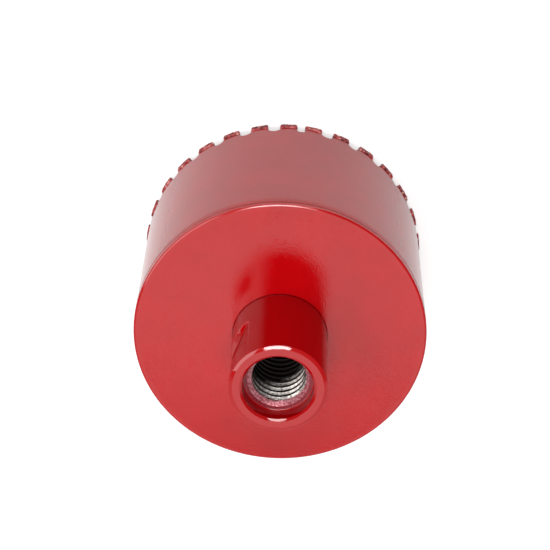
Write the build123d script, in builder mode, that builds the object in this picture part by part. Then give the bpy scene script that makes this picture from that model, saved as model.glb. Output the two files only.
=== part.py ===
from build123d import *
import math
import os

# Diamond core bit for an M14 spindle. Sizes in millimetres, +Z up, origin on the bit's axis in the plane
# of the diamond tips, so that the cup stands on its tips and the shank points up.

# Cup
cup_diameter = 68.0  # outer diameter of the tube and of the disc
cup_height = 44.2  # tip plane to the disc's outer face
tube_wall = 2.0
tube_taper_length = 1.9  # the tube's upper end is dressed to a slight taper along the joint
tube_taper_depth = 0.25
flange_thickness = 1.15  # rim of the disc, which covers the tube's end
disc_edge_radius = 0.8  # round on the disc's outer corner
register_depth = 2.0  # step of the disc that goes down inside the tube
register_clearance = 0.05  # radial play for the braze round the register
register_chamfer = 0.5  # leads the register into the tube

# Shank
shank_diameter = 22.0
shank_length = 23.5  # above the disc
end_chamfer_width = 0.8  # chamfer round the outer edge of the shank's end face, seen from the end
end_chamfer_depth = 0.4
mouth_chamfer_width = 0.6  # chamfer round the mouth of the counterbore, seen from the end
mouth_chamfer_depth = 0.35
spigot_wall = 2.0  # of the turned down end that passes through the disc, outside the tapped hole
spigot_clearance = 0.05  # radial play for the braze round the spigot
spanner_size = 19.0  # across the two flats
flat_start = 7.9  # from the disc up to the lower end of the flats
flat_length = 9.9
flat_azimuth = -20.0  # degrees, direction that the first flat faces

# Hole for the spindle, M14 x 2, bored to the tapping size from end to end
tapping_diameter = 12.0
counterbore_diameter = 16.0
counterbore_depth = 4.0
thread_lead_in = 1.0  # 45 degree chamfer below the counterbore
thread_run_out = 1.0  # 45 degree chamfer at the hole's other end, inside the cup

# Diamond tips and the gullets between them
tip_count = 30
tip_width = 4.2  # along the rim
tip_height = 1.8
tip_overhang = 0.3  # how far a tip stands out past each side of the tube's wall
tip_corner_radius = 0.5  # round on the two corners that cut
first_tip_azimuth = -90.8  # degrees
closing_gullet_width = 1.9  # the last gullet, left over when the others are milled round
gullet_depth = 3.3  # tip plane to the bottom of a gullet

# Sizes that follow from those above
tube_radius = cup_diameter / 2
tube_bore_radius = tube_radius - tube_wall
tube_end = cup_height - flange_thickness
spigot_end = tube_end - register_depth
spigot_radius = tapping_diameter / 2 + spigot_wall
shank_top = cup_height + shank_length
tip_angle = math.degrees(tip_width / tube_radius)
closing_angle = math.degrees(closing_gullet_width / tube_radius)
tip_pitch = (360 - tip_angle - closing_angle) / (tip_count - 1)
gullet_width = math.radians(tip_pitch - tip_angle) * tube_radius


def rim_plane(azimuth):
    """Upright plane through the axis that faces out at the azimuth, with its Y axis up."""
    outward = Vector(1, 0, 0).rotate(Axis.Z, azimuth)
    return Plane(origin=(0, 0, 0), x_dir=outward.rotate(Axis.Z, 90), z_dir=outward)


# Core tube: a length of tube whose lower rim is milled into teeth by gullets with round bottoms.
with BuildPart() as core_tube:
    with BuildSketch(Plane.XY.offset(tip_height)):
        Circle(tube_radius)
        Circle(tube_bore_radius, mode=Mode.SUBTRACT)
    extrude(amount=tube_end - tip_height)
    end_edges = core_tube.edges().group_by(Axis.Z)[-1].sort_by(SortBy.RADIUS)
    chamfer(end_edges[-1], tube_taper_length, tube_taper_depth)
    for gullet in range(tip_count):
        is_closing = gullet == tip_count - 1
        width = closing_gullet_width if is_closing else gullet_width
        half_step = (tip_angle + closing_angle) / 2 if is_closing else tip_pitch / 2
        azimuth = first_tip_azimuth + gullet * tip_pitch + half_step
        with BuildSketch(rim_plane(azimuth)):
            with Locations((0, gullet_depth - width / 2)):
                Circle(width / 2)
                Rectangle(width, gullet_depth, align=(Align.CENTER, Align.MAX))
        extrude(amount=cup_diameter, mode=Mode.SUBTRACT)

# End disc: turned in one piece with the register, and bored for the shank's spigot.
with BuildPart() as end_disc:
    with BuildSketch(Plane.XY.offset(tube_end)):
        Circle(tube_radius)
    extrude(amount=flange_thickness)
    fillet(end_disc.edges().group_by(Axis.Z)[-1], disc_edge_radius)
    with BuildSketch(Plane.XY.offset(tube_end)):
        Circle(tube_bore_radius - register_clearance)
    extrude(amount=-register_depth)
    chamfer(end_disc.edges().group_by(Axis.Z)[0], register_chamfer)
    with Locations(Plane.XY.offset(cup_height)):
        Hole(spigot_radius + spigot_clearance)

# Threaded shank: a turned bar with a spigot, two milled wrench flats and a counterbored hole right through.
with BuildPart() as threaded_shank:
    with BuildSketch(Plane.XY.offset(cup_height)):
        Circle(shank_diameter / 2)
    extrude(amount=shank_length)
    chamfer(threaded_shank.edges().group_by(Axis.Z)[-1], end_chamfer_depth, end_chamfer_width)
    with BuildSketch(Plane.XY.offset(spigot_end)):
        Circle(spigot_radius)
    extrude(amount=cup_height - spigot_end)
    with BuildSketch(Plane.XY.offset(cup_height + flat_start).rotated((0, 0, flat_azimuth))):
        Rectangle(2 * shank_diameter, shank_diameter)
        Rectangle(spanner_size, shank_diameter, mode=Mode.SUBTRACT)
    extrude(amount=flat_length, mode=Mode.SUBTRACT)
    with Locations(Plane.XY.offset(shank_top)):
        CounterBoreHole(tapping_diameter / 2, counterbore_diameter / 2, counterbore_depth)
    counterbore_floor = shank_top - counterbore_depth
    floor_edges = threaded_shank.edges().filter_by_position(Axis.Z, counterbore_floor, counterbore_floor)
    chamfer(floor_edges.sort_by(SortBy.RADIUS)[0], thread_lead_in)
    spigot_edges = threaded_shank.edges().group_by(Axis.Z)[0]
    chamfer(spigot_edges.sort_by(SortBy.RADIUS)[0], thread_run_out)
    end_face_edges = threaded_shank.edges().group_by(Axis.Z)[-1]
    chamfer(end_face_edges.sort_by(SortBy.RADIUS)[0], mouth_chamfer_depth, mouth_chamfer_width)

core_tube.part.label = "core_tube"
end_disc.part.label = "end_disc"
threaded_shank.part.label = "threaded_shank"

os.makedirs("parts", exist_ok=True)
export_step(core_tube.part, "parts/core_tube.step")
export_step(end_disc.part, "parts/end_disc.step")
export_step(threaded_shank.part, "parts/threaded_shank.step")

# Diamond tips: one sintered segment brazed on the end of each tooth, a little thicker than the wall, so
# that the kerf clears the tube.
for tip in range(tip_count):
    with BuildPart() as diamond_tip:
        with BuildSketch(rim_plane(first_tip_azimuth + tip * tip_pitch)) as tip_outline:
            Rectangle(tip_width, tip_height, align=(Align.CENTER, Align.MIN))
            fillet(tip_outline.vertices().group_by(Axis.Y)[0], tip_corner_radius)
        extrude(amount=cup_diameter)
        with BuildSketch():
            Circle(tube_radius + tip_overhang)
            Circle(tube_bore_radius - tip_overhang, mode=Mode.SUBTRACT)
        extrude(amount=tip_height, mode=Mode.INTERSECT)
    tip_name = f"diamond_tip_{tip + 1:02d}"
    diamond_tip.part.label = tip_name
    export_step(diamond_tip.part, f"parts/{tip_name}.step")
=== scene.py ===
import math

import bmesh
import bpy
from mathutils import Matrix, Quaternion, Vector, noise


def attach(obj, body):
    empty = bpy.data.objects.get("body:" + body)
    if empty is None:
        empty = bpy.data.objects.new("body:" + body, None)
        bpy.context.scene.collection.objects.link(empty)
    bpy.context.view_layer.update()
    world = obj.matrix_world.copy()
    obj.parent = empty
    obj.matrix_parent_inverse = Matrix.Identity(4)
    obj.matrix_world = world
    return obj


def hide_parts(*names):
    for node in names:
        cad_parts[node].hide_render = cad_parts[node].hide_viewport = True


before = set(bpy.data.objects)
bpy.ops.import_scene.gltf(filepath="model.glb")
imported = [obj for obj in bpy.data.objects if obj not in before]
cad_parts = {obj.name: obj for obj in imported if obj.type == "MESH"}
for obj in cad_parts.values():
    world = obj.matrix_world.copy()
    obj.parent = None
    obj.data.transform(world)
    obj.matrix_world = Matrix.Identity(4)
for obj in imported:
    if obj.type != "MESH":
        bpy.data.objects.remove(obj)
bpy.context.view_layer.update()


# ------------------------------------------------------------------------------------------------------------
# Core tube
# A length of drawn steel tube, 68 mm across with a 2 mm wall. Cutters with round ends have milled its lower
# rim into thirty teeth, and the whole cup was stove enamelled red once it had been brazed together.

MM = 0.001  # sizes are in millimetres and degrees, and the scene is in metres
cup_radius = 34.0
tube_bore_radius = 32.0
tube_end = 43.05  # the disc's rim sits here
tube_taper_length = 1.9
tube_taper_depth = 0.25
joint_chamfer = 0.55  # leaves a fine groove under the disc's rim
joint_break = (0.05, 0.08)  # (in, up) across the broken edge between taper and chamfer
tooth_end = 1.8  # the diamond tips go on from here, down to 0
tooth_width = 4.2
gullet_depth = 3.3  # from the plane that the tips cut in
closing_gullet_width = 1.9  # the last gullet, left over once the others were milled
first_tooth_azimuth = -90.8
tooth_count = 30
tube_edge_round = 0.18  # on the edges that the cutters left
gullet_steps = 14
tooth_steps = 6
taper_steps = 6
wall_levels = (36.0, 28.0, 20.0, 12.0, 6.0)

tooth_angle = math.degrees(tooth_width / cup_radius)
closing_angle = math.degrees(closing_gullet_width / cup_radius)
tooth_pitch = (360 - tooth_angle - closing_angle) / (tooth_count - 1)
gullet_width = math.radians(tooth_pitch - tooth_angle) * cup_radius


def linear(hex_colour):
    """An sRGB colour such as "b51a1f" as the linear RGBA that a shader takes."""
    levels = [int(hex_colour[i:i + 2], 16) / 255 for i in (0, 2, 4)]
    return tuple(c / 12.92 if c <= 0.04045 else ((c + 0.055) / 1.055) ** 2.4 for c in levels) + (1.0,)


def turned_point(radius, azimuth, z):
    """A point of a turned piece, from millimetres and degrees."""
    a = math.radians(azimuth)
    return Vector((radius * math.cos(a) * MM, radius * math.sin(a) * MM, z * MM))


def gullet_and_tooth(tooth, offset):
    """(azimuth, z) along the rim, over the gullet before this tooth and the tooth up to its far corner.
    The line keeps its distance, offset, from the sides and the round end of the gullet."""
    closing = tooth == 0
    width = closing_gullet_width if closing else gullet_width
    gullet_angle = closing_angle if closing else tooth_pitch - tooth_angle
    tooth_middle = first_tooth_azimuth + tooth * tooth_pitch
    gullet_middle = tooth_middle - tooth_angle / 2 - gullet_angle / 2
    per_mm = math.degrees(1 / cup_radius)
    reach = width / 2 + offset
    centre = gullet_depth - width / 2
    line = [(gullet_middle - reach * per_mm, tooth_end)]
    for step in range(gullet_steps + 1):
        turn = math.pi * step / gullet_steps
        line.append((gullet_middle - reach * math.cos(turn) * per_mm, centre + reach * math.sin(turn)))
    start = gullet_middle + reach * per_mm
    end = tooth_middle + tooth_angle / 2 - offset * per_mm
    line += [(start + (end - start) * step / tooth_steps, tooth_end) for step in range(tooth_steps)]
    return line


def rim_ring(radius, offset):
    """One ring of the tube's skin that follows the teeth."""
    line = [p for tooth in range(tooth_count) for p in gullet_and_tooth(tooth, offset)]
    return [turned_point(radius, azimuth, z) for azimuth, z in line]


def tube_ring(radius, z):
    """One level ring of the tube's skin, with a point above each point of the teeth."""
    line = [p for tooth in range(tooth_count) for p in gullet_and_tooth(tooth, tube_edge_round)]
    return [turned_point(radius, azimuth, z) for azimuth, _ in line]


def skin(rings, closed):
    """A mesh over rings that all have the same number of points. A closed skin joins the last ring to the
    first."""
    shape = bmesh.new()
    rows = [[shape.verts.new(p) for p in ring] for ring in rings]
    pairs = list(zip(rows, rows[1:])) + ([(rows[-1], rows[0])] if closed else [])
    for row, following in pairs:
        for i in range(len(row)):
            j = (i + 1) % len(row)
            shape.faces.new((row[i], row[j], following[j], following[i]))
    return shape


def piece(name, shape, material, sharp=50):
    """An object of the finished mesh, on the root body. It is shaded smooth, but for edges that turn by more
    than sharp, in degrees."""
    bmesh.ops.remove_doubles(shape, verts=shape.verts, dist=1e-7)
    bmesh.ops.dissolve_degenerate(shape, edges=shape.edges, dist=1e-8)
    bmesh.ops.recalc_face_normals(shape, faces=shape.faces)
    mesh = bpy.data.meshes.new(name)
    shape.to_mesh(mesh)
    shape.free()
    mesh.shade_smooth()
    mesh.set_sharp_from_angle(angle=math.radians(sharp))
    mesh.materials.append(material)
    made = bpy.data.objects.new(name, mesh)
    bpy.context.scene.collection.objects.link(made)
    even = made.modifiers.new("even shading", "WEIGHTED_NORMAL")
    even.keep_sharp = True
    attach(made, "root")
    return made


def add(tree, kind, settings=None, **links):
    """A node of a material or world, with its settings and what feeds its inputs. An input's name has _ for
    each space, or is _0, _1 and so on for its number."""
    node = tree.nodes.new(kind)
    for key, value in (settings or {}).items():
        if hasattr(node, key):
            setattr(node, key, value)
        else:
            node.inputs[key].default_value = value
    for key, source in links.items():
        socket = node.inputs[int(key[1:])] if key[0] == "_" else node.inputs[key.replace("_", " ")]
        tree.links.new(source, socket)
    return node


def new_material(name):
    """An empty node material, its nodes, its output node, and each point's place on the object."""
    material = bpy.data.materials.new(name)
    material.use_nodes = True
    tree = material.node_tree
    tree.nodes.clear()
    output = tree.nodes.new("ShaderNodeOutputMaterial")
    return material, tree, output, add(tree, "ShaderNodeTexCoord").outputs["Object"]


# Stove enamel over steel: a deep red film with a hard gloss, so the floor and the lamps show in it. It flowed
# out a little unevenly, which leaves orange peel about a millimetre across and a faint drift in the red.
tube_peel_width = 1.1
tube_drift_width = 9.0

tube_enamel, tree, output, place = new_material("red stove enamel on tube")
flow = add(tree, "ShaderNodeTexNoise", {"Scale": 1 / (tube_drift_width * MM), "Detail": 3.0}, Vector=place)
tint = add(tree, "ShaderNodeValToRGB", None, Fac=flow.outputs["Fac"])
tint.color_ramp.elements[0].color = linear("b40004")
tint.color_ramp.elements[0].position = 0.35
tint.color_ramp.elements[1].color = linear("bc0006")
tint.color_ramp.elements[1].position = 0.65
peel = add(tree, "ShaderNodeTexNoise", {"Scale": 1 / (tube_peel_width * MM), "Detail": 1.5}, Vector=place)
bump = add(tree, "ShaderNodeBump", {"Strength": 0.25, "Distance": 0.02 * MM}, Height=peel.outputs["Fac"])
enamel = add(
    tree, "ShaderNodeBsdfPrincipled", {"Roughness": 0.05, "IOR": 1.6},
    Base_Color=tint.outputs["Color"], Normal=bump.outputs["Normal"],
)
tree.links.new(enamel.outputs["BSDF"], output.inputs["Surface"])

# The skin goes down the bore, round the rim's inner and outer edges, up the wall and over the taper.
rounding = [math.radians(a) for a in (0, 30, 60, 90)]
rings = [tube_ring(tube_bore_radius, z) for z in (tube_end, *wall_levels)]
rings += [
    rim_ring(tube_bore_radius + tube_edge_round * (1 - math.cos(a)), tube_edge_round * (1 - math.sin(a)))
    for a in rounding
]
rings += [
    rim_ring(cup_radius - tube_edge_round * (1 - math.sin(a)), tube_edge_round * (1 - math.cos(a)))
    for a in rounding
]
rings += [tube_ring(cup_radius, z) for z in reversed(wall_levels)]
taper_end = tube_end - joint_chamfer
tapered_part = 1 - joint_chamfer / tube_taper_length
taper_radius = cup_radius - tube_taper_depth * tapered_part
for step in range(taper_steps + 1):
    along = step / taper_steps * tapered_part
    rings.append(tube_ring(cup_radius - tube_taper_depth * along, tube_end - tube_taper_length * (1 - along)))
rings.append(tube_ring(taper_radius - joint_break[0], taper_end + joint_break[1]))
rings.append(tube_ring(taper_radius - joint_chamfer, tube_end))
tube = piece("tube", skin(rings, closed=True), tube_enamel, sharp=35)
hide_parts("core_tube")


# ------------------------------------------------------------------------------------------------------------
# End disc
# A steel disc, turned with a step that fits inside the tube and brazed to it, so that the two edges meet in
# a fine line round the cup. Its face was blasted before enamelling, and its rim was left as it was turned.

disc_face = 44.2
disc_hole_radius = 8.05
shank_radius = 11.0
groove_depth = 0.5  # of the crevice that the enamel left open round the shank's foot
foot_groove = ((0.08, -groove_depth), (0.1, -0.05), (0.15, 0.0))  # (out, up) from the shank's foot
face_radii = (20.0, 33.46)  # halfway out, and the end of the flat
land_start = (33.52, 44.185)  # (radius, z) of the narrow sloping land between the face and the rounded edge
land_end = (33.74, 44.108)
land_turn = math.atan2(land_start[1] - land_end[1], land_end[0] - land_start[0])
disc_edge_round = (cup_radius - land_end[0]) / (1 - math.sin(land_turn))  # runs smoothly from land to rim
flange_corner = 0.4  # round on the rim's lower corner, beside the joint
register_radius = 31.95
register_end = 41.05
register_chamfer = 0.5


def lathe(profile, steps):
    """Rings round the axis, one for each (radius, z) of the profile."""
    return [[turned_point(radius, 360 * i / steps, z) for i in range(steps)] for radius, z in profile]


def corner(radius, z, round_radius, start, end, steps):
    """(radius, z) points of a rounded corner about a centre, from one angle to another in degrees."""
    turns = [math.radians(start + (end - start) * i / steps) for i in range(steps + 1)]
    return [(radius + round_radius * math.cos(t), z + round_radius * math.sin(t)) for t in turns]


def chamfer_line(start, end, bulge=0.0):
    """(radius, z) along a chamfer, close together near its two edges, with its middle proud by bulge."""
    parts = (0.0, 0.1, 0.3, 0.5, 0.7, 0.9, 1.0)
    radii = [start[0] + (end[0] - start[0]) * part for part in parts]
    heights = [start[1] + (end[1] - start[1]) * part + 4 * bulge * part * (1 - part) for part in parts]
    return list(zip(radii, heights))


# Enamel over a blasted face: the same red, but the film follows the pits, so that whatever it mirrors breaks
# up into grains at its edges. Real pits are about a tenth of a millimetre, too fine to show, so these are
# drawn three times as wide. They die away before the turned rim, which is smooth.
disc_grain_width = 0.34
disc_drift_width = 7.0
grain_end = (32.6, 33.4)  # radii between which they die away

disc_enamel, tree, output, place = new_material("red stove enamel on blasted disc")
flow = add(tree, "ShaderNodeTexNoise", {"Scale": 1 / (disc_drift_width * MM), "Detail": 4.0}, Vector=place)
tint = add(tree, "ShaderNodeValToRGB", None, Fac=flow.outputs["Fac"])
tint.color_ramp.elements[0].color = linear("b60006")
tint.color_ramp.elements[0].position = 0.3
tint.color_ramp.elements[1].color = linear("be0008")
tint.color_ramp.elements[1].position = 0.7
grain = add(tree, "ShaderNodeTexNoise", {"Scale": 1 / (disc_grain_width * MM), "Detail": 0.0}, Vector=place)
flat_place = add(tree, "ShaderNodeVectorMath", {"operation": "MULTIPLY"}, _0=place)
flat_place.inputs[1].default_value = (1, 1, 0)
from_axis = add(tree, "ShaderNodeVectorMath", {"operation": "LENGTH"}, _0=flat_place.outputs["Vector"])
blasted = add(
    tree, "ShaderNodeMapRange",
    {"From Min": grain_end[0] * MM, "From Max": grain_end[1] * MM, "To Min": 1.0, "To Max": 0.0},
    Value=from_axis.outputs["Value"],
)
bump = add(
    tree, "ShaderNodeBump", {"Distance": 0.025 * MM},
    Height=grain.outputs["Fac"], Strength=blasted.outputs["Result"],
)
enamel = add(
    tree, "ShaderNodeBsdfPrincipled", {"Roughness": 0.08, "IOR": 1.6},
    Base_Color=tint.outputs["Color"], Normal=bump.outputs["Normal"],
)
tree.links.new(enamel.outputs["BSDF"], output.inputs["Surface"])

profile = [(disc_hole_radius, register_end), (disc_hole_radius, disc_face - groove_depth)]
profile += [(shank_radius + out, disc_face + up) for out, up in foot_groove]
profile += [(radius, disc_face) for radius in face_radii]
profile += chamfer_line(land_start, land_end)
edge_centre = (cup_radius - disc_edge_round, land_end[1] - disc_edge_round * math.cos(land_turn))
profile += corner(*edge_centre, disc_edge_round, 90 - math.degrees(land_turn), 0, steps=10)[1:]
profile += corner(cup_radius - flange_corner, tube_end + flange_corner, flange_corner, 0, -90, steps=4)
profile += [(register_radius, tube_end), (register_radius, register_end + register_chamfer)]
profile += [(register_radius - register_chamfer, register_end)]
disc = piece("disc", skin(lathe(profile, steps=256), closed=True), disc_enamel)
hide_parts("end_disc")


# ------------------------------------------------------------------------------------------------------------
# Threaded shank
# A turned steel bar with two wrench flats and a spigot that is brazed into the disc. Its hole is tapped
# M14 x 2 from end to end below a counterbore that locates the spindle's collar.

shank_end = 67.7
end_chamfer_width = 0.8
end_chamfer_depth = 0.29
mouth_chamfer_width = 0.6
mouth_chamfer_depth = 0.45
counterbore_radius = 8.0
counterbore_floor = 63.7
counterbore_corner = 0.15
spigot_radius = 8.0
flat_distance = 9.5  # from the axis, half of 19 mm across the two flats
flat_azimuth = -20.0
flat_bottom = 52.1
flat_top = 62.0
flat_edge_round = 0.2
foot_round = 0.2
flat_steps = 24
bar_steps = 48
bar_margin = 2.0  # rings this far beyond a flat's ends, and flat_margin within them, keep the shading even
flat_margin = 1.0
thread_pitch = 2.0
thread_crest_radius = 6.0
thread_root_radius = 7.0
thread_root_half_width = 0.125
thread_flank_angle = 30.0

half_flat = math.degrees(math.acos(flat_distance / shank_radius))
shank_azimuths = []
for side in (0, 180):
    middle = flat_azimuth + side
    shank_azimuths += [middle + half_flat * (2 * i / flat_steps - 1) for i in range(flat_steps)]
    shank_azimuths += [middle + half_flat + (180 - 2 * half_flat) * i / bar_steps for i in range(bar_steps)]


def flat_depth(azimuth):
    """How far a wrench flat lies below the round of the bar at an azimuth."""
    turn = math.radians((azimuth - flat_azimuth + 90) % 180 - 90)
    return max(0.0, shank_radius - flat_distance / math.cos(turn))


def shank_side(azimuth):
    """(radius, z) down the outside of the bar at an azimuth, with the same number of points everywhere."""
    depth = flat_depth(azimuth)
    bed = shank_radius - depth
    edge = min(flat_edge_round, depth / 2)
    line = [(shank_radius, flat_top + bar_margin)]
    line += corner(shank_radius - edge, flat_top + edge, edge, 0, -90, steps=4)
    line += corner(bed + edge, flat_top - edge, edge, 90, 180, steps=4)
    levels = (flat_top - flat_margin, (flat_top + flat_bottom) / 2, flat_bottom + flat_margin)
    line += [(bed, z) for z in levels]
    line += corner(bed + edge, flat_bottom + edge, edge, 180, 270, steps=4)
    line += corner(shank_radius - edge, flat_bottom - edge, edge, 90, 0, steps=4)
    line += [(shank_radius, flat_bottom - bar_margin)]
    return line + corner(shank_radius - foot_round, disc_face + foot_round, foot_round, 0, -90, steps=4)


def thread_radius(fraction):
    """Radius of the tapped hole at a fraction of a turn's pitch from the middle of the thread's root."""
    along = abs((fraction + 0.5) % 1 - 0.5) * thread_pitch
    flank = (along - thread_root_half_width) / math.tan(math.radians(thread_flank_angle))
    return min(thread_root_radius, max(thread_crest_radius, thread_root_radius - flank))


# Enamel over the turned bar: the same red with a smooth, wet gloss, as the turned steel under it is fine.
shank_peel_width = 0.9
shank_drift_width = 5.0

shank_enamel, tree, output, place = new_material("red stove enamel on shank")
flow = add(tree, "ShaderNodeTexNoise", {"Scale": 1 / (shank_drift_width * MM), "Detail": 3.0}, Vector=place)
tint = add(tree, "ShaderNodeValToRGB", None, Fac=flow.outputs["Fac"])
tint.color_ramp.elements[0].color = linear("b00004")
tint.color_ramp.elements[1].color = linear("b60006")
peel = add(tree, "ShaderNodeTexNoise", {"Scale": 1 / (shank_peel_width * MM), "Detail": 1.5}, Vector=place)
bump = add(tree, "ShaderNodeBump", {"Strength": 0.2, "Distance": 0.02 * MM}, Height=peel.outputs["Fac"])
enamel = add(
    tree, "ShaderNodeBsdfPrincipled", {"Roughness": 0.05, "IOR": 1.6},
    Base_Color=tint.outputs["Color"], Normal=bump.outputs["Normal"],
)
tree.links.new(enamel.outputs["BSDF"], output.inputs["Surface"])

# Cut steel of the tapped hole, left bare: bright, torn flanks that glint, and painted shade on the crests.
# Painted shade also darkens it deep down, higher on one side. Red overspray lies in specks on the lead-in.
steel_smear_width = 0.6
steel_tear_width = 0.3
spray_speck_width = 0.4
deep_shade_levels = (53.5, 58.0)  # heights between which it goes from painted deep shade to clean steel
deep_shade_lean = 0.5  # how much higher the painted shade stands for each millimetre along X
crest_shade_radii = (6.03, 6.12)  # from painted shade on the crest to the flank's colour
spray_levels = (63.3, 64.1)  # heights between which it goes from bare to dusted, where no speck falls
spray_shift = 2.4  # how far down the heaviest specks carry that

thread_steel, tree, output, place = new_material("tapped bare steel")
where = add(tree, "ShaderNodeSeparateXYZ", None, Vector=place)
smear = add(tree, "ShaderNodeTexNoise", {"Scale": 1 / (steel_smear_width * MM), "Detail": 4.0}, Vector=place)
bright = add(tree, "ShaderNodeValToRGB", None, Fac=smear.outputs["Fac"])
bright.color_ramp.elements[0].color = linear("8c837c")
bright.color_ramp.elements[0].position = 0.38
bright.color_ramp.elements[1].color = linear("e2dcd6")
bright.color_ramp.elements[1].position = 0.62
shade_rise = add(
    tree, "ShaderNodeMath", {"operation": "MULTIPLY_ADD"}, _0=where.outputs["X"], _2=where.outputs["Z"],
)
shade_rise.inputs[1].default_value = -deep_shade_lean
unshaded = add(
    tree, "ShaderNodeMapRange", {"From Min": deep_shade_levels[0] * MM, "From Max": deep_shade_levels[1] * MM},
    Value=shade_rise.outputs["Value"],
)
# Painted shade: deep in the hole the steel goes to near black, higher on one side.
painted_deep_shade = add(tree, "ShaderNodeMix", {"data_type": "RGBA"})
painted_deep_shade.inputs["A"].default_value = linear("16110e")
tree.links.new(unshaded.outputs["Result"], painted_deep_shade.inputs["Factor"])
tree.links.new(bright.outputs["Color"], painted_deep_shade.inputs["B"])
flat_place = add(tree, "ShaderNodeVectorMath", {"operation": "MULTIPLY"}, _0=place)
flat_place.inputs[1].default_value = (1, 1, 0)
from_axis = add(tree, "ShaderNodeVectorMath", {"operation": "LENGTH"}, _0=flat_place.outputs["Vector"])
crest_shade = add(
    tree, "ShaderNodeMapRange",
    {"From Min": crest_shade_radii[0] * MM, "From Max": crest_shade_radii[1] * MM, "To Min": 1.0, "To Max": 0.0},
    Value=from_axis.outputs["Value"],
)
# Painted shade: the thread's crests are darkened.
painted_crest_shade = add(tree, "ShaderNodeMix", {"data_type": "RGBA"})
painted_crest_shade.inputs["B"].default_value = linear("1c1613")
tree.links.new(crest_shade.outputs["Result"], painted_crest_shade.inputs["Factor"])
tree.links.new(painted_deep_shade.outputs["Result"], painted_crest_shade.inputs["A"])
specks = add(tree, "ShaderNodeTexNoise", {"Scale": 1 / (spray_speck_width * MM), "Detail": 3.0}, Vector=place)
uneven = add(
    tree, "ShaderNodeMath", {"operation": "MULTIPLY_ADD"}, _0=specks.outputs["Fac"], _2=where.outputs["Z"],
)
uneven.inputs[1].default_value = spray_shift * MM
spray = add(
    tree, "ShaderNodeMapRange", {"From Min": spray_levels[0] * MM, "From Max": spray_levels[1] * MM},
    Value=uneven.outputs["Value"],
)
pink = add(tree, "ShaderNodeValToRGB", None, Fac=specks.outputs["Fac"])
pink.color_ramp.elements[0].color = linear("9c2036")
pink.color_ramp.elements[0].position = 0.38
pink.color_ramp.elements[1].color = linear("dc9aa2")
pink.color_ramp.elements[1].position = 0.62
dusted = add(tree, "ShaderNodeMix", {"data_type": "RGBA"})
tree.links.new(spray.outputs["Result"], dusted.inputs["Factor"])
tree.links.new(painted_crest_shade.outputs["Result"], dusted.inputs["A"])
tree.links.new(pink.outputs["Color"], dusted.inputs["B"])
rough = add(tree, "ShaderNodeMapRange", {"To Min": 0.5, "To Max": 0.32}, Value=unshaded.outputs["Result"])
metal = add(tree, "ShaderNodeMapRange", {"To Min": 1.0, "To Max": 0.35}, Value=spray.outputs["Result"])
tear = add(tree, "ShaderNodeTexNoise", {"Scale": 1 / (steel_tear_width * MM), "Detail": 2.0}, Vector=place)
bump = add(tree, "ShaderNodeBump", {"Strength": 1.0, "Distance": 0.03 * MM}, Height=tear.outputs["Fac"])
steel = add(
    tree, "ShaderNodeBsdfPrincipled", None,
    Base_Color=dusted.outputs["Result"], Metallic=metal.outputs["Result"],
    Roughness=rough.outputs["Result"], Normal=bump.outputs["Normal"],
)
tree.links.new(steel.outputs["BSDF"], output.inputs["Surface"])

# Enamel on the counterbore's floor: a dark, satin red whose darkness is painted shade for the recess, with
# paler flecks.
fleck_width = 0.4

floor_shade_enamel, tree, output, place = new_material("red enamel with painted shade in counterbore")
fleck = add(tree, "ShaderNodeTexNoise", {"Scale": 1 / (fleck_width * MM), "Detail": 3.0}, Vector=place)
tint = add(tree, "ShaderNodeValToRGB", None, Fac=fleck.outputs["Fac"])
tint.color_ramp.elements[0].color = linear("6c0614")
tint.color_ramp.elements[0].position = 0.38
tint.color_ramp.elements[1].color = linear("98182c")
tint.color_ramp.elements[1].position = 0.62
enamel = add(
    tree, "ShaderNodeBsdfPrincipled", {"Roughness": 0.35, "IOR": 1.6}, Base_Color=tint.outputs["Color"],
)
tree.links.new(enamel.outputs["BSDF"], output.inputs["Surface"])


def beside(sharp_corner, across, up):
    """A point of a broken edge, by its place from the sharp corner that was there."""
    return (sharp_corner[0] + across, sharp_corner[1] + up)


# Half a section of the shank, from the counterbore's floor over the end face and down to the spigot's end.
# The edges of both chamfers are broken by a few hundredths of a millimetre, so that they catch the light.
mouth_foot = (counterbore_radius, shank_end - mouth_chamfer_depth)
mouth_lip = (counterbore_radius + mouth_chamfer_width, shank_end)
end_lip = (shank_radius - end_chamfer_width, shank_end)
end_foot = (shank_radius, shank_end - end_chamfer_depth)
end_line = [(thread_root_radius, counterbore_floor)]
end_line += corner(
    counterbore_radius - counterbore_corner, counterbore_floor + counterbore_corner, counterbore_corner,
    -90, 0, steps=3,
)
end_line += [beside(mouth_foot, 0, -0.06)]
end_line += chamfer_line(beside(mouth_foot, 0.05, 0), beside(mouth_lip, -0.05, -0.04), bulge=0.008)
end_line += [beside(mouth_lip, 0.03, 0), beside(end_lip, -0.03, 0)]
end_line += chamfer_line(beside(end_lip, 0.04, -0.03), beside(end_foot, -0.06, 0.01), bulge=0.011)
end_line += [beside(end_foot, 0, -0.06)]
spigot_line = [(spigot_radius, disc_face), (spigot_radius, register_end), (thread_root_radius, register_end)]
columns = []
for azimuth in shank_azimuths:
    column = end_line + shank_side(azimuth) + spigot_line
    columns.append([turned_point(radius, azimuth, z) for radius, z in column])
shape = skin([list(ring) for ring in zip(*columns)], closed=False)

# The shank's second and third materials. The first ring of faces is the counterbore's floor.
bare_thread = 1
shaded_floor = 2
# The counterbore's floor takes the enamel with painted shade.
for face in list(shape.faces)[:len(columns)]:
    face.material_index = shaded_floor

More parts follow.
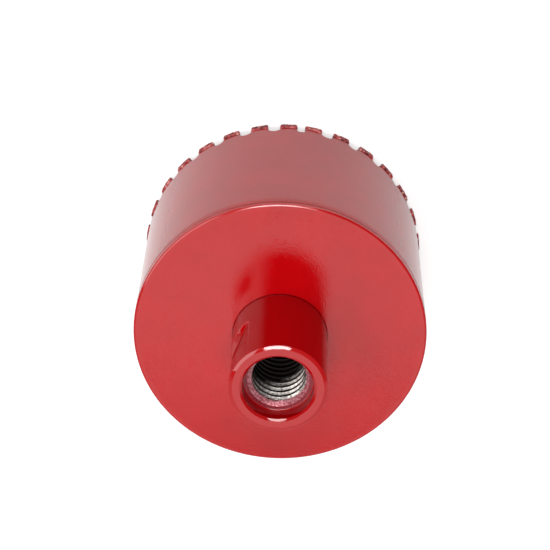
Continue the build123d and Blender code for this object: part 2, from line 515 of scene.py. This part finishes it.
# The thread's rows climb one pitch a turn, so each row's end meets the start of the row one pitch higher. A
# pitch has ten rows: five up one flank from the root's edge onto the crest, and five down the other.
fractions = [0.0625, 0.16, 0.255, 0.351, 0.4, 0.6, 0.649, 0.745, 0.84, 0.9375]
turns_below = math.ceil((counterbore_floor - register_end) / thread_pitch)
rows = []
for turn in range(-1, turns_below + 1):
    for fraction in fractions:
        row = []
        for azimuth in shank_azimuths:
            around = (azimuth - shank_azimuths[0]) / 360
            z = register_end + thread_pitch * (turn + fraction + around)
            level = min(counterbore_floor, max(register_end, z))
            lead_in = thread_root_radius - (counterbore_floor - level)
            run_out = thread_root_radius - (level - register_end)
            radius = max(thread_radius(fraction), lead_in, run_out)
            row.append(shape.verts.new(turned_point(radius, azimuth, level)))
        rows.append(row)
for index, row in enumerate(rows[:-1]):
    above = rows[index + 1]
    for i in range(len(row) - 1):
        face = shape.faces.new((row[i], row[i + 1], above[i + 1], above[i]))
        face.material_index = bare_thread
    pitch_up = index + len(fractions)
    if pitch_up + 1 < len(rows):
        face = shape.faces.new((row[-1], rows[pitch_up][0], rows[pitch_up + 1][0], above[-1]))
        face.material_index = bare_thread
shank = piece("shank", shape, shank_enamel, sharp=40)
shank.data.materials.append(thread_steel)
shank.data.materials.append(floor_shade_enamel)
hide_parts("threaded_shank")


# ------------------------------------------------------------------------------------------------------------
# Diamond tips
# Thirty small blocks of diamond grit sintered in a cobalt and bronze matrix, one brazed on the end of each
# tooth. Each stands out a little past both faces of the wall, and its grit makes it rough like sandpaper.

tip_height = tooth_end
tip_proud = 0.3
tip_corner_round = 0.5
tip_least_round = 0.05  # what is left of it on the innermost rings of the curved faces
tip_edge_inset = 0.12  # the edges of the two curved faces are worn back by this much
tip_face_insets = (0.85, 0.7, 0.5, 0.3, 0.15)  # rings on the curved faces, from the middle out
grit_size = 0.5  # real grit is about 0.35 mm, and is drawn coarser so that it shows
grit_height = 0.13
grit_reach = 0.55  # a grain fades into the matrix this far from its middle, in grit sizes
swell_width = 1.2
swell_height = 0.08
matrix_wear = 0.05  # how far the matrix between the grains is worn back
wall_steps = 12
joint_steps = 20
side_steps = 7
corner_steps = 4
cutting_steps = 16

# Sintered segment under a thin coat of the red: dull, and mottled from dark matrix to pale grit, each grain
# with a red of its own and standing a little proud. The palest grains are partly painted glints of the grit.
tip_matrix, tree, output, place = new_material("sintered diamond segment")
grit = add(tree, "ShaderNodeTexVoronoi", {"Scale": 1 / (grit_size * MM)}, Vector=place)
chance = add(tree, "ShaderNodeSeparateXYZ", None, Vector=grit.outputs["Color"])
tint = add(tree, "ShaderNodeValToRGB", None, Fac=chance.outputs["X"])
tint.color_ramp.elements[0].color = linear("540a12")
tint.color_ramp.elements[0].position = 0.1
tint.color_ramp.elements[1].color = linear("f0bcb0")
tint.color_ramp.elements[1].position = 0.96
for position, colour in ((0.34, "ac2c30"), (0.8, "cc5052")):
    tint.color_ramp.elements.new(position).color = linear(colour)
bump = add(tree, "ShaderNodeBump", {"Strength": 0.8, "Distance": 0.06 * MM}, Height=grit.outputs["Distance"])
bump.invert = True
matrix = add(
    tree, "ShaderNodeBsdfPrincipled", {"Roughness": 0.55, "IOR": 1.5},
    Base_Color=tint.outputs["Color"], Normal=bump.outputs["Normal"],
)
tree.links.new(matrix.outputs["BSDF"], output.inputs["Surface"])


def tip_outline(inset):
    """(along, z) round the tip's curved face, with its two cutting corners rounded, drawn in by inset."""
    half = tooth_width / 2 - inset
    round_radius = max(tip_least_round, tip_corner_round - inset)
    low, high = inset, tip_height - inset
    side_length = high - low - round_radius
    turns = [math.pi / 2 * i / corner_steps for i in range(corner_steps)]
    line = [(half - 2 * half * i / joint_steps, high) for i in range(joint_steps)]
    line += [(-half, high - side_length * i / side_steps) for i in range(side_steps)]
    line += [
        (-half + round_radius * (1 - math.cos(t)), low + round_radius * (1 - math.sin(t))) for t in turns
    ]
    start = -half + round_radius
    line += [(start + 2 * (half - round_radius) * i / cutting_steps, low) for i in range(cutting_steps)]
    line += [
        (half - round_radius * (1 - math.sin(t)), low + round_radius * (1 - math.cos(t))) for t in turns
    ]
    line += [(half, low + round_radius + side_length * i / side_steps) for i in range(side_steps)]
    return line


def roughness(point, tip):
    """How far the tip's skin stands out at a point, from its grit and from the mould's unevenness. The seed
    gives each tip its own."""
    seed = Vector((tip * 3.7, tip * 1.3, 0.0))
    near = noise.voronoi(point / (grit_size * MM) + seed)[0][0]
    swell = noise.noise(point / (swell_width * MM) + seed)
    return grit_height * max(0.0, 1 - near / grit_reach) + swell_height * swell - matrix_wear


inner, outer = tube_bore_radius - tip_proud, cup_radius + tip_proud
layers = [(inner, inset) for inset in tip_face_insets]
for i in range(wall_steps + 1):
    layers.append((inner + (outer - inner) * i / wall_steps, tip_edge_inset if i in (0, wall_steps) else 0.0))
layers += [(outer, inset) for inset in reversed(tip_face_insets)]

for tip in range(tooth_count):
    azimuth = first_tooth_azimuth + tip * tooth_pitch
    rings = []
    for radius, inset in layers:
        ring = []
        for along, z in tip_outline(inset):
            ring.append(turned_point(radius, azimuth + math.degrees(along / cup_radius), z))
        rings.append(ring)
    shape = skin(rings, closed=False)
    shape.verts.ensure_lookup_table()
    count = len(rings[0])
    for end in (shape.verts[:count], shape.verts[-count:]):
        middle = shape.verts.new(sum((v.co for v in end), Vector()) / count)
        for i in range(count):
            shape.faces.new((end[i], end[(i + 1) % count], middle))
    bmesh.ops.recalc_face_normals(shape, faces=shape.faces)
    shape.normal_update()
    moved = [v.co + v.normal * roughness(v.co, tip) * MM for v in shape.verts]
    for vertex, point in zip(shape.verts, moved):
        point.z = min(max(point.z, 0.0), tip_height * MM)
        vertex.co = point
    made = piece(f"tip_{tip + 1:02d}", shape, tip_matrix, sharp=80)
    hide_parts(f"diamond_tip_{tip + 1:02d}")


# ------------------------------------------------------------------------------------------------------------
# Studio
# The bit stands on its tips on a plain white floor in a pale room. Soft lamps hang over its middle, its near
# side and one side, with a dim panel over the far side. Sizes and places are in metres from here on.

floor_half_width = 5.0
floor_drop = 0.05 * MM  # keeps the floor just clear of the tips
# Painted light: in the gloss the floor glows less near the bit, as painted shade, and only on the near side.
mirror_reach = (0.08, 0.22)  # seen in the gloss, the floor brightens between these distances from the bit
mirror_levels = (0.4, 1.4)
mirror_side = (0.02, 0.08)  # but only on the near side: it stops between these places along Y
view_reach = (0.3, 1.2)  # seen by the camera, it fades to the white of the room between these distances
view_levels = (0.6, 1.0)
lamp_height = 1.2
ceiling_rise = (0.55, 0.9)  # walls turn to ceiling between these, where level is 0 and straight up is 1
room_levels = (0.1, 0.22)  # brightness of walls and ceiling
lit_wall_level = 0.7
lit_wall_top = (0.7, 0.8)  # the lit walls end between these, measured the same way
lit_wall_side = (0.25, 0.45)  # and begin between these, where straight to the far side is 1

# Matt white board. The gloss on the bit and the camera each see it lifted by a glow that gives no light.
floor_white, tree, output, place = new_material("white studio floor")
away = add(tree, "ShaderNodeVectorMath", {"operation": "LENGTH"}, _0=place)
where = add(tree, "ShaderNodeSeparateXYZ", None, Vector=place)
seen = add(tree, "ShaderNodeLightPath")
mirrored = add(
    tree, "ShaderNodeMapRange", {
        "From Min": mirror_reach[0], "From Max": mirror_reach[1],
        "To Min": mirror_levels[0], "To Max": mirror_levels[1],
    },
    Value=away.outputs["Value"],
)
near_side = add(
    tree, "ShaderNodeMapRange",
    {"From Min": mirror_side[0], "From Max": mirror_side[1], "To Min": 1.0, "To Max": 0.0},
    Value=where.outputs["Y"],
)
# Painted light in the gloss, with painted shade close to the bit.
painted_floor_light = add(
    tree, "ShaderNodeMath", {"operation": "MULTIPLY"},
    _0=mirrored.outputs["Result"], _1=near_side.outputs["Result"],
)
in_gloss = add(
    tree, "ShaderNodeMath", {"operation": "MULTIPLY"},
    _0=seen.outputs["Is Glossy Ray"], _1=painted_floor_light.outputs["Value"],
)
fading = add(
    tree, "ShaderNodeMapRange", {
        "From Min": view_reach[0], "From Max": view_reach[1],
        "To Min": view_levels[0], "To Max": view_levels[1],
    },
    Value=away.outputs["Value"],
)
in_view = add(
    tree, "ShaderNodeMath", {"operation": "MULTIPLY"},
    _0=seen.outputs["Is Camera Ray"], _1=fading.outputs["Result"],
)
lift = add(
    tree, "ShaderNodeMath", {"operation": "ADD"}, _0=in_gloss.outputs["Value"], _1=in_view.outputs["Value"],
)
matt = add(tree, "ShaderNodeBsdfDiffuse", {"Color": linear("cbcbcb")})
glow = add(tree, "ShaderNodeEmission", {"Color": (1, 1, 1, 1)}, Strength=lift.outputs["Value"])
both = add(tree, "ShaderNodeAddShader", None, _0=matt.outputs["BSDF"], _1=glow.outputs["Emission"])
tree.links.new(both.outputs["Shader"], output.inputs["Surface"])

floor_shape = bmesh.new()
bmesh.ops.create_grid(floor_shape, x_segments=8, y_segments=8, size=floor_half_width)
floor_mesh = bpy.data.meshes.new("floor")
floor_shape.to_mesh(floor_mesh)
floor_shape.free()
floor_mesh.materials.append(floor_white)
floor = bpy.data.objects.new("floor", floor_mesh)
floor.location.z = -floor_drop
bpy.context.scene.collection.objects.link(floor)


def overhead_lamp(name, shape, across, along, brightness):
    """A flat lamp that faces down. Its edges along X and Y are given in metres for each metre of height, and
    brightness 1 is as bright as a white page in this light."""
    lamp = bpy.data.lights.new(name, "AREA")
    lamp.shape = shape
    lamp.size = (across[1] - across[0]) * lamp_height
    lamp.size_y = (along[1] - along[0]) * lamp_height
    area = lamp.size * lamp.size_y * (math.pi / 4 if shape == "ELLIPSE" else 1)
    lamp.energy = brightness * math.pi * area
    made = bpy.data.objects.new(name, lamp)
    made.location = (sum(across) / 2 * lamp_height, sum(along) / 2 * lamp_height, lamp_height)
    bpy.context.scene.collection.objects.link(made)


overhead_lamp("strip softbox", "ELLIPSE", (-0.17, 0.23), (-0.26, -0.04), 16.5)
overhead_lamp("front softbox", "ELLIPSE", (-0.5, 0.5), (-1.30, -0.86), 9.2)
overhead_lamp("side softbox", "RECTANGLE", (0.33, 1.05), (-0.42, 0.34), 3.05)
overhead_lamp("far panel", "RECTANGLE", (-0.6, 0.6), (0.36, 0.667), 1.1)

# Pale room: dim walls, a ceiling twice as bright, and lit walls on the far side up to half way. The camera
# itself sees it white.
world = bpy.data.worlds.new("pale room")
bpy.context.scene.world = world
world.use_nodes = True
room = world.node_tree
room.nodes.clear()
facing = add(room, "ShaderNodeTexCoord")
way = add(room, "ShaderNodeSeparateXYZ", None, Vector=facing.outputs["Generated"])
wall_and_ceiling = add(
    room, "ShaderNodeMapRange", {
        "From Min": ceiling_rise[0], "From Max": ceiling_rise[1],
        "To Min": room_levels[0], "To Max": room_levels[1],
    },
    Value=way.outputs["Z"],
)
far_side = add(
    room, "ShaderNodeMapRange", {"From Min": lit_wall_side[0], "From Max": lit_wall_side[1]},
    Value=way.outputs["Y"],
)
below_top = add(
    room, "ShaderNodeMapRange",
    {"From Min": lit_wall_top[0], "From Max": lit_wall_top[1], "To Min": lit_wall_level, "To Max": 0.0},
    Value=way.outputs["Z"],
)
lit_wall = add(
    room, "ShaderNodeMath", {"operation": "MULTIPLY"},
    _0=far_side.outputs["Result"], _1=below_top.outputs["Result"],
)
in_room = add(
    room, "ShaderNodeMath", {"operation": "MAXIMUM"},
    _0=wall_and_ceiling.outputs["Result"], _1=lit_wall.outputs["Value"],
)
seen = add(room, "ShaderNodeLightPath")
strength = add(
    room, "ShaderNodeMath", {"operation": "MAXIMUM"},
    _0=seen.outputs["Is Camera Ray"], _1=in_room.outputs["Value"],
)
air = add(room, "ShaderNodeBackground", {"Color": (1, 1, 1, 1)}, Strength=strength.outputs["Value"])
sky = room.nodes.new("ShaderNodeOutputWorld")
room.links.new(air.outputs["Background"], sky.inputs["Surface"])

# A long lens that looks down on the disc from the near side, turned almost upside down.
camera_place = Vector((0.0, -0.218572, 0.425247))
camera_aim = Vector((0.0017, 0.0, 0.01408))
camera_roll = -177.655
camera_lens = 124.013
camera = bpy.data.objects.new("camera", bpy.data.cameras.new("camera"))
camera.data.lens = camera_lens
camera.data.sensor_width = 36.0
camera.location = camera_place
camera.rotation_mode = "QUATERNION"
level_view = (camera_aim - camera_place).to_track_quat("-Z", "Y")
camera.rotation_quaternion = level_view @ Quaternion((0, 0, 1), math.radians(camera_roll))
bpy.context.scene.collection.objects.link(camera)
bpy.context.scene.camera = camera
bpy.context.scene.view_settings.view_transform = "Standard"
